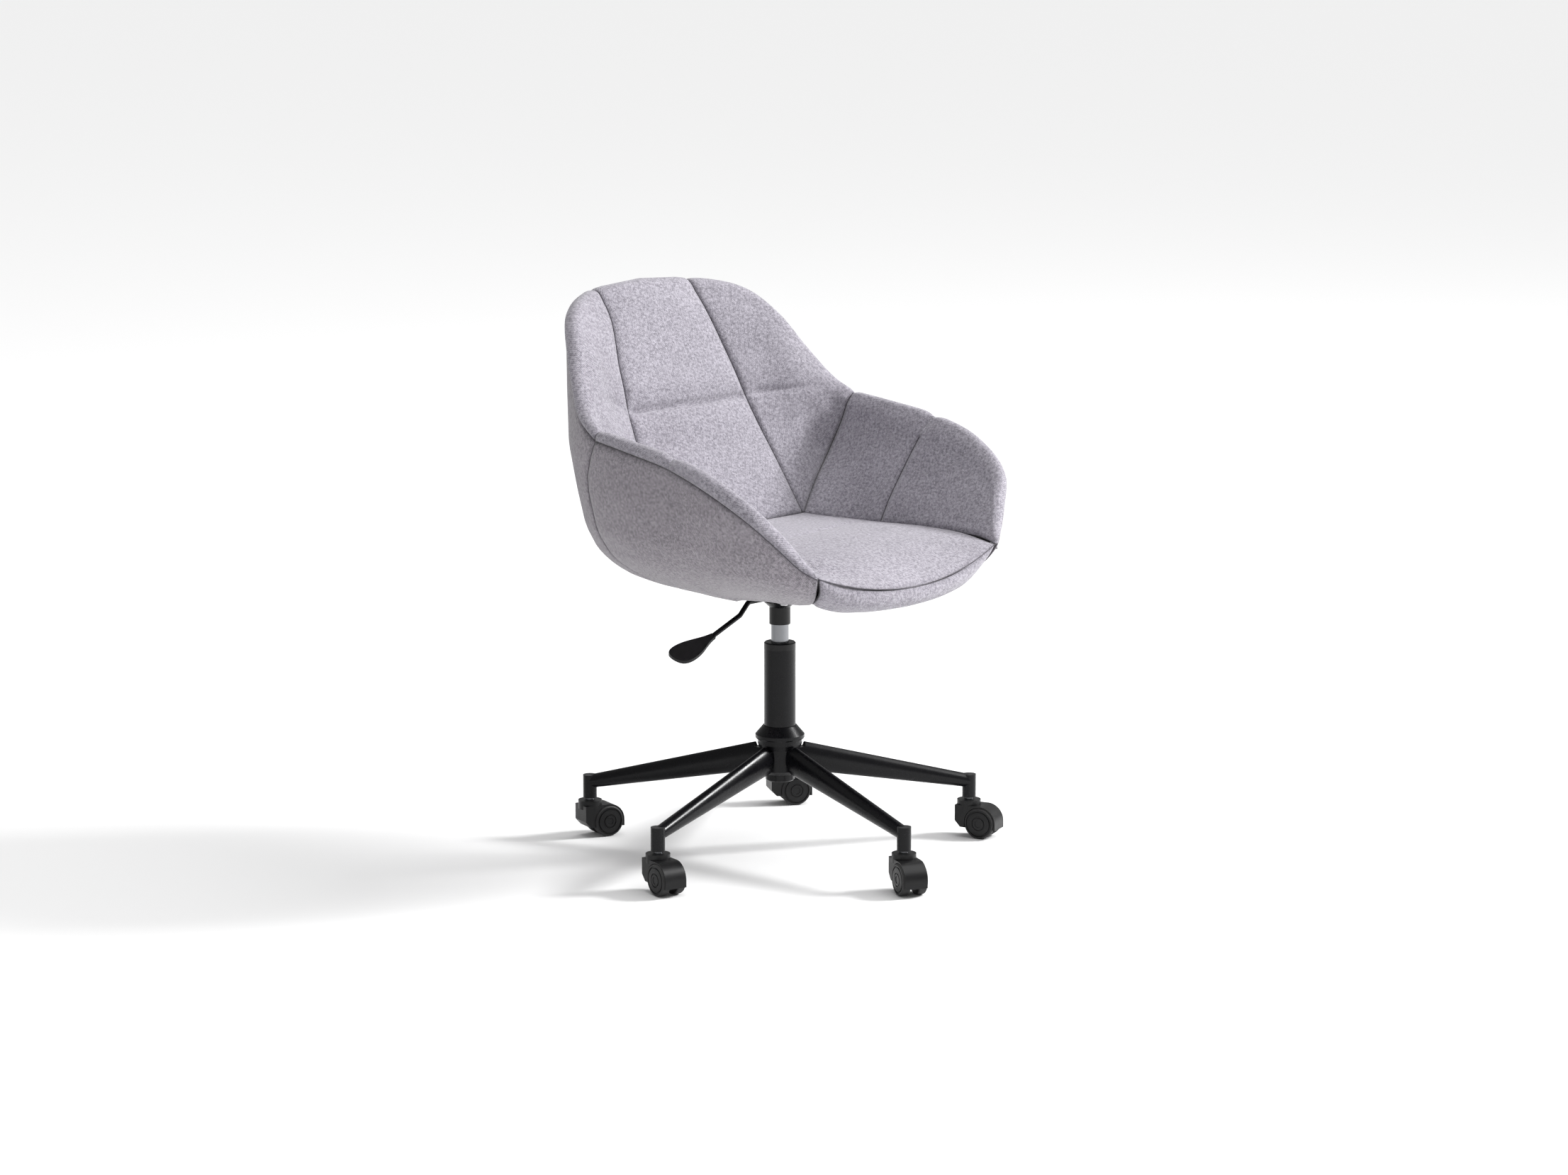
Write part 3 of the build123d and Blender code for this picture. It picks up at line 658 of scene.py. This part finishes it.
class ARMCHAIR_OT_wing_pads(bpy.types.Operator):
    """Upholster the two wings, which narrow to the seat's rear corners"""

    bl_idname = "armchair.wing_pads"
    bl_label = "Wing pads"

    def execute(self, context):
        sizes = context.scene.armchair_sizes
        left = wing_net()
        for side, net in (("left", left), ("right", mirrored(left))):
            normals = net_normals(net, (0, -0.5, 0.8))
            front, seam = sewn(net, normals, sizes.crown * 0.7, sizes.seam_roll)
            u, _, u_far, _ = net_lengths(net)
            from_centre = u if side == "left" else u_far
            fade = np.clip(from_centre / 0.03, 0, 1) * np.exp(-from_centre / 0.13) * 0.9
            arched = 0.45 * from_centre - 1.6 * from_centre**2
            rise = arched if side == "right" else 0.03 * from_centre
            front = crease(front, normals, WING_FOLD_HEIGHT + rise, WING_FOLD_DEPTH, fade)
            if side == "right":
                front = self.gather(front, normals)
            pad = closed_pad(f"wing_{side}_upholstery", front, normals, sizes.pad_depth, seam)
            cloth = cover_cloth("Grey chenille")
            fit_out(pad, "seat", [f"wing_pad_{side}"], cloth)
        return {"FINISHED"}

    def gather(self, net, normals):
        """Small folds where the wing's fabric is drawn round the crook of the rim."""
        x, z = np.abs(net[..., 0]), net[..., 2]
        near = np.exp(-(((x - 0.248) / 0.024) ** 2)) * np.exp(-(((z - 0.694) / 0.018) ** 2))
        folds = np.sin((z - 0.35 * x) / 0.0017)
        return net + normals * (0.002 * near * folds)[..., None]


class ARMCHAIR_OT_arm_pads(bpy.types.Operator):
    """Upholster the arms, each sewn from a rear and a front panel"""

    bl_idname = "armchair.arm_pads"
    bl_label = "Arm pads"

    def execute(self, context):
        sizes = context.scene.armchair_sizes
        whole = arm_net()
        cut = ARM_STEPS[0] + ARM_STEPS[1]
        for side in ("left", "right"):
            for part, panel in (("rear", whole[: cut + 1]), ("front", whole[cut:])):
                net = panel if side == "left" else mirrored(panel)
                normals = net_normals(net, (0, -0.05, 0.9))
                short = "end" if (part == "rear") == (side == "left") else "start"
                front, seam = sewn(net, normals, sizes.crown * 0.8, sizes.seam_roll, short=(short,))
                name = f"arm_{part}_{side}_upholstery"
                pad = closed_pad(name, front, normals, sizes.pad_depth, seam)
                nodes = [f"arm_pad_{side}"] if part == "rear" else []
                fit_out(pad, "seat", nodes, cover_cloth("Grey chenille"))
        return {"FINISHED"}


class ARMCHAIR_OT_seat(bpy.types.Operator):
    """Upholster the seat cushion, rolled down at its front and wrinkled at its corners"""

    bl_idname = "armchair.seat"
    bl_label = "Seat cushion"

    def execute(self, context):
        sizes = context.scene.armchair_sizes
        side = smooth_line(SEAT_SIDE, SEAT_STEPS)
        middle = smooth_line(SEAT_MIDDLE, SEAT_STEPS)
        t = np.linspace(0, 1, len(side))[None, :]
        s = np.linspace(-1, 1, SEAT_COLUMNS)[:, None]
        ease = t**3
        x = s * side[None, :, 0]
        shape = np.abs(s) ** (4.5 - 2.5 * ease)
        y = middle[None, :, 1] + (side[:, 1] - middle[:, 1])[None] * np.abs(s) ** 2
        z = middle[None, :, 2] + (side[:, 2] - middle[:, 2])[None] * shape
        net = np.stack([x, y, z], -1) * MM
        normals = net_normals(net, (0, -0.1, 2))
        top, seam = sewn(net, normals, sizes.crown, sizes.seam_roll)
        top = self.wrinkle(top, normals)
        under = np.stack([x * 0.76, np.maximum(y * 0.82, -214.0), np.full_like(x, 455.0)], -1) * MM
        cushion = closed_pad("seat_cushion_upholstery", top, normals, 0, seam, behind=under)
        fit_out(cushion, "seat", ["seat_cushion"], cover_cloth("Grey chenille"))
        return {"FINISHED"}

    def wrinkle(self, net, normals):
        """Soft folds that fan out from the two front corners, and a shallow fold across."""
        x, y = net[..., 0], net[..., 1]
        lift = np.zeros(x.shape)
        for hand, strength in ((-1, 1.0), (1, 0.25)):
            inward, ahead = 0.203 - hand * x, y + 0.272
            far, turn = np.hypot(inward, ahead), np.arctan2(ahead, inward)
            fan = np.exp(-(((turn - 0.75) / 0.5) ** 2)) * np.exp(-(((far - 0.07) / 0.038) ** 2))
            across = (inward * 0.92 + ahead * 0.38) / 0.0019 + 3 * turn
            lift += strength * CORNER_FOLD_DEPTH * fan * np.sin(across)
        dip = y + 0.07 - 0.15 * x
        short = np.clip(1.3 - np.abs(x - 0.03) / 0.12, 0, 1)
        lift -= SEAT_FOLD_DEPTH * np.exp(-((dip / 0.007) ** 2)) * short
        return net + normals * lift[..., None]


class ARMCHAIR_OT_front_border(bpy.types.Operator):
    """Upholster the border below the seat's front stitching"""

    bl_idname = "armchair.front_border"
    bl_label = "Front border"

    def execute(self, context):
        sizes = context.scene.armchair_sizes
        top, hem = smooth_line(FRONT_STITCH, BORDER_STEPS), smooth_line(FRONT_HEM, BORDER_STEPS)
        columns = []
        for high, low in zip(top, hem):
            out = 5 * (1 - (high[0] / 203) ** 4) + 8
            swell = low + (high - low) * 0.45 - np.array((0, out, 0)) + np.array((0, 0, -2))
            columns.append(smooth_line((low, swell, high), (8, 8)))
        half = np.array(columns) * MM
        net = np.concatenate([mirrored(half)[:-1], half])
        normals = net_normals(net, (0, -2, 0.3))
        front, seam = sewn(net, normals, sizes.crown * 0.4, sizes.seam_roll, free=("low",))
        border = closed_pad("front_border_upholstery", front, normals, BORDER_DEPTH, seam)
        cloth = cover_cloth("Grey chenille")
        fit_out(border, "seat", ["seat_front_border"], cloth)
        return {"FINISHED"}


class ARMCHAIR_OT_outer_covers(bpy.types.Operator):
    """Stretch the outer back and side covers from the piping down to the dust cloth"""

    bl_idname = "armchair.outer_covers"
    bl_label = "Outer covers"

    def execute(self, context):
        sizes = context.scene.armchair_sizes
        back_edge = np.concatenate([centre_net()[CENTRE_STEPS:-1, -1], wing_net()[:, -1]])
        side_edge = arm_net()[:, -1]
        back_half = np.array([outer_column(p / MM, BACK_FOOT, COVER_STEPS) for p in back_edge]) * MM
        column, last = np.arange(len(side_edge)), len(side_edge) - 1
        foot = np.interp(column, (*SIDE_FOOT[0], last), SIDE_FOOT[1])
        foot_out = np.interp(column, (0, SIDE_FOOT_OUT[0], last), (0, 0, SIDE_FOOT_OUT[1]))
        net = np.array([outer_column(p / MM, z, COVER_STEPS, out)
                        for p, z, out in zip(side_edge, foot, foot_out)]) * MM
        back = np.concatenate([mirrored(back_half)[:-1], back_half])
        # Painted shade: the outer covers use the same chenille made 14 to 18 % darker and a little
        # warmer, for the tub's outside in shadow.
        cloth = cover_cloth("Grey chenille with painted shade", (0.86, 0.84, 0.82))
        for name, panel, node_name, face in (
            ("outer_back_upholstery", back, "outer_back_cover", (0, 3, 0.7)),
            ("outer_left_upholstery", net, "outer_side_left", (3, 0, 0.6)),
            ("outer_right_upholstery", mirrored(net), "outer_side_right", (-3, 0, 0.6)),
        ):
            normals = net_normals(panel, face)
            front, seam = sewn(panel, normals, 0.001, sizes.seam_roll * 0.7, free=("high",))
            cover = closed_pad(name, front, normals, COVER_DEPTH, seam)
            fit_out(cover, "seat", [node_name], cloth)
        self.under_cloth(back_half[:, -1], net[:, -1])
        return {"FINISHED"}

    def under_cloth(self, back_foot, side_foot):
        """The black cloth across the tub's underside, from foot to foot."""
        half = np.concatenate([back_foot, side_foot[1:]])
        hem = smooth_line(FRONT_HEM, HEM_STEPS) * MM
        left = np.concatenate([half, hem[-2::-1]])
        rim = np.concatenate([left, (left * np.array((-1, 1, 1)))[-2:0:-1]])
        rim = np.concatenate([rim, rim[:1]])
        middle = np.array((0, -0.02, 0))
        rows = []
        for share in np.linspace(0, 1, UNDER_STEPS):
            drawn_in = 0.997 - 0.94 * share**1.5
            flat = middle + (rim - middle) * drawn_in
            floor = 0.4235 + np.clip((-flat[:, 1] - 0.07) / 0.13, 0, 1) * 0.0135
            low = floor + (rim[:, 2] + 0.001 - floor) * (1 - min(1.0, share * 1.15))
            rows.append(np.column_stack([flat[:, 0], flat[:, 1], low]))
        net = np.array(rows).transpose(1, 0, 2)
        normals = net_normals(net, (0, -0.02, -3))
        plain = np.full(net.shape[:2], PLAIN)
        cloth = closed_pad("under_cloth", net + normals * 0.0012, normals, CLOTH_DEPTH, plain)
        fit_out(cloth, "seat", ["dust_cover", "tub_pan"], dust_cloth())


class ARMCHAIR_OT_caster_wheels(bpy.types.Operator):
    """Turn the caster wheels with their stepped discs, hub caps and treads"""

    bl_idname = "armchair.caster_wheels"
    bl_label = "Caster wheels"

    def execute(self, context):
        bpy.ops.object.select_all(action="DESELECT")
        bpy.ops.mesh.primitive_cylinder_add(
            vertices=72, radius=WHEEL_RADIUS * MM, depth=WHEEL_WIDTH * MM,
            location=(0, 0, (WHEEL_START + WHEEL_WIDTH / 2) * MM), end_fill_type="NGON")
        wheel = context.object
        bpy.ops.object.transform_apply(location=True)
        bpy.ops.object.mode_set(mode="EDIT")
        bpy.ops.mesh.select_mode(type="FACE")
        step_face(1, WHEEL_FACE)
        step_face(-1, WHEEL_BACK)
        bpy.ops.mesh.extrude_region_move(TRANSFORM_OT_translate={"value": (0, 0, AXLE_HOLE * MM)})
        bpy.ops.mesh.select_all(action="SELECT")
        bpy.ops.mesh.normals_make_consistent(inside=False)
        bpy.ops.object.mode_set(mode="OBJECT")
        bpy.ops.object.shade_smooth_by_angle(angle=radians(25))
        wheel.data.materials.append(black_moulding())
        wheel.data.materials.append(tread_rubber())
        for face in wheel.data.polygons:
            face.material_index = int(face.center.xy.length > TREAD_FROM * MM)
        for joint in frame["joints"]:
            if not joint["name"].startswith("wheel_spin"):
                continue
            side = 1 if "left" in joint["name"] else -1
            axle = Vector(joint["axis"]) * side
            turn = axle.to_track_quat("Z", "Y").to_matrix().to_4x4()
            inner_face = Vector(joint["pos_m"]) + axle * WHEEL_GAP * MM
            place = Matrix.Translation(inner_face) @ turn
            body = joint["child"]
            copy = placed_copy(wheel, body.replace("wheel", "caster_wheel"), place)
            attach(copy, body)
            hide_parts(body)
        bpy.data.objects.remove(wheel)
        return {"FINISHED"}


class ARMCHAIR_OT_finishes(bpy.types.Operator):
    """Give every hard part of the frame its own finish"""

    bl_idname = "armchair.finishes"
    bl_label = "Finishes"

    def execute(self, context):
        finishes = (
            (("base_", "hub_", "column_tube", "lift_cone", "mounting_plate", "lever_rod"), powder_coat),
            (("guide_bush", "cylinder_sleeve", "lever_paddle", "caster_hood"), black_moulding),
            (("gas_cylinder", "caster_stems"), bright_chrome),
            (("piston_rod", "thrust_bearing", "rod_clip", "plate_bolts", "tee_nuts", "release_pin",
              "caster_axle"), zinc_steel),
            (("seat_board",), bare_board),
        )
        for starts, build in finishes:
            material = build()
            for name, part in frame["nodes"].items():
                if name.startswith(starts):
                    part.data.materials.clear()
                    part.data.materials.append(material)
        return {"FINISHED"}


class ARMCHAIR_OT_stage(bpy.types.Operator):
    """Set the floor, the soft light and the camera"""

    bl_idname = "armchair.stage"
    bl_label = "Stage"

    def execute(self, context):
        bpy.ops.object.select_all(action="DESELECT")
        bpy.ops.mesh.primitive_plane_add(size=60, location=(0, 0, 0))
        floor = context.object
        floor.name = "studio_floor"
        paper = bpy.data.materials.new("Pale studio floor")
        paper.use_nodes = True
        shade = paper.node_tree.nodes["Principled BSDF"]
        shade.inputs["Base Color"].default_value = (0.93, 0.93, 0.93, 1)
        shade.inputs["Roughness"].default_value = 0.9
        floor.data.materials.append(paper)

        world = bpy.data.worlds.new("Soft room")
        context.scene.world = world
        world.use_nodes = True
        sky = world.node_tree.nodes["Background"]
        sky.inputs["Color"].default_value = (1, 1, 1, 1)
        seen = node(world.node_tree, "ShaderNodeLightPath").outputs["Is Camera Ray"]
        strength = ranged(world.node_tree, seen, 0.0, 1.0, 0.36, 1.0)
        world.node_tree.links.new(strength, sky.inputs["Strength"])

        for name, place, size, power in (
            ("key_light", (3.9, -3.0, 3.4), 1.3, 400),
            ("fill_light", (-5.0, -3.0, 2.4), 2.5, 12),
        ):
            lamp = bpy.data.lights.new(name, "AREA")
            lamp.energy, lamp.size = power, size
            light = bpy.data.objects.new(name, lamp)
            context.scene.collection.objects.link(light)
            light.location = place
            aim = Vector((0, 0, 0.5)) - Vector(place)
            light.rotation_euler = aim.to_track_quat("-Z", "Y").to_euler()

        overhead = bpy.data.lights.new("overhead_light", "SUN")
        overhead.energy, overhead.angle = 2.0, radians(70)
        hung = bpy.data.objects.new("overhead_light", overhead)
        hung.rotation_euler = (radians(14), radians(12), 0)
        context.scene.collection.objects.link(hung)

        lens = bpy.data.cameras.new("camera")
        lens.lens, lens.sensor_width = 104.16, 36.0
        camera = bpy.data.objects.new("camera", lens)
        context.scene.collection.objects.link(camera)
        camera.location = (-5.1154, -4.7790, 1.742)
        camera.rotation_euler = (radians(79.34), 0, radians(-47))
        context.scene.camera = camera
        context.scene.view_settings.view_transform = "Standard"
        return {"FINISHED"}


class ARMCHAIR_PT_panel(bpy.types.Panel):
    """Everything the armchair is made of"""

    bl_idname = "ARMCHAIR_PT_panel"
    bl_label = "Swivel armchair"
    bl_space_type = "VIEW_3D"
    bl_region_type = "UI"
    bl_category = "Armchair"

    def draw(self, context):
        for group in (context.scene.armchair_sizes, context.scene.armchair_colours):
            for prop in group.bl_rna.properties:
                if prop.identifier not in ("rna_type", "name"):
                    self.layout.prop(group, prop.identifier)
        for operator in OPERATORS:
            self.layout.operator(operator.bl_idname)


OPERATORS = (
    ARMCHAIR_OT_back_pad, ARMCHAIR_OT_wing_pads, ARMCHAIR_OT_arm_pads, ARMCHAIR_OT_seat,
    ARMCHAIR_OT_front_border, ARMCHAIR_OT_outer_covers, ARMCHAIR_OT_caster_wheels,
    ARMCHAIR_OT_finishes, ARMCHAIR_OT_stage,
)
CLASSES = (ArmchairSizes, ArmchairColours, *OPERATORS, ARMCHAIR_PT_panel)


def register():
    """Add the classes and their settings."""
    for cls in CLASSES:
        bpy.utils.register_class(cls)
    bpy.types.Scene.armchair_sizes = bpy.props.PointerProperty(type=ArmchairSizes)
    bpy.types.Scene.armchair_colours = bpy.props.PointerProperty(type=ArmchairColours)


def unregister():
    """Take them away again."""
    del bpy.types.Scene.armchair_colours
    del bpy.types.Scene.armchair_sizes
    for cls in reversed(CLASSES):
        bpy.utils.unregister_class(cls)


def main():
    """Build every piece in order."""
    register()
    bpy.ops.armchair.back_pad()
    bpy.ops.armchair.wing_pads()
    bpy.ops.armchair.arm_pads()
    bpy.ops.armchair.seat()
    bpy.ops.armchair.front_border()
    bpy.ops.armchair.outer_covers()
    bpy.ops.armchair.caster_wheels()
    bpy.ops.armchair.finishes()
    bpy.ops.armchair.stage()


if __name__ == "__main__":
    main()
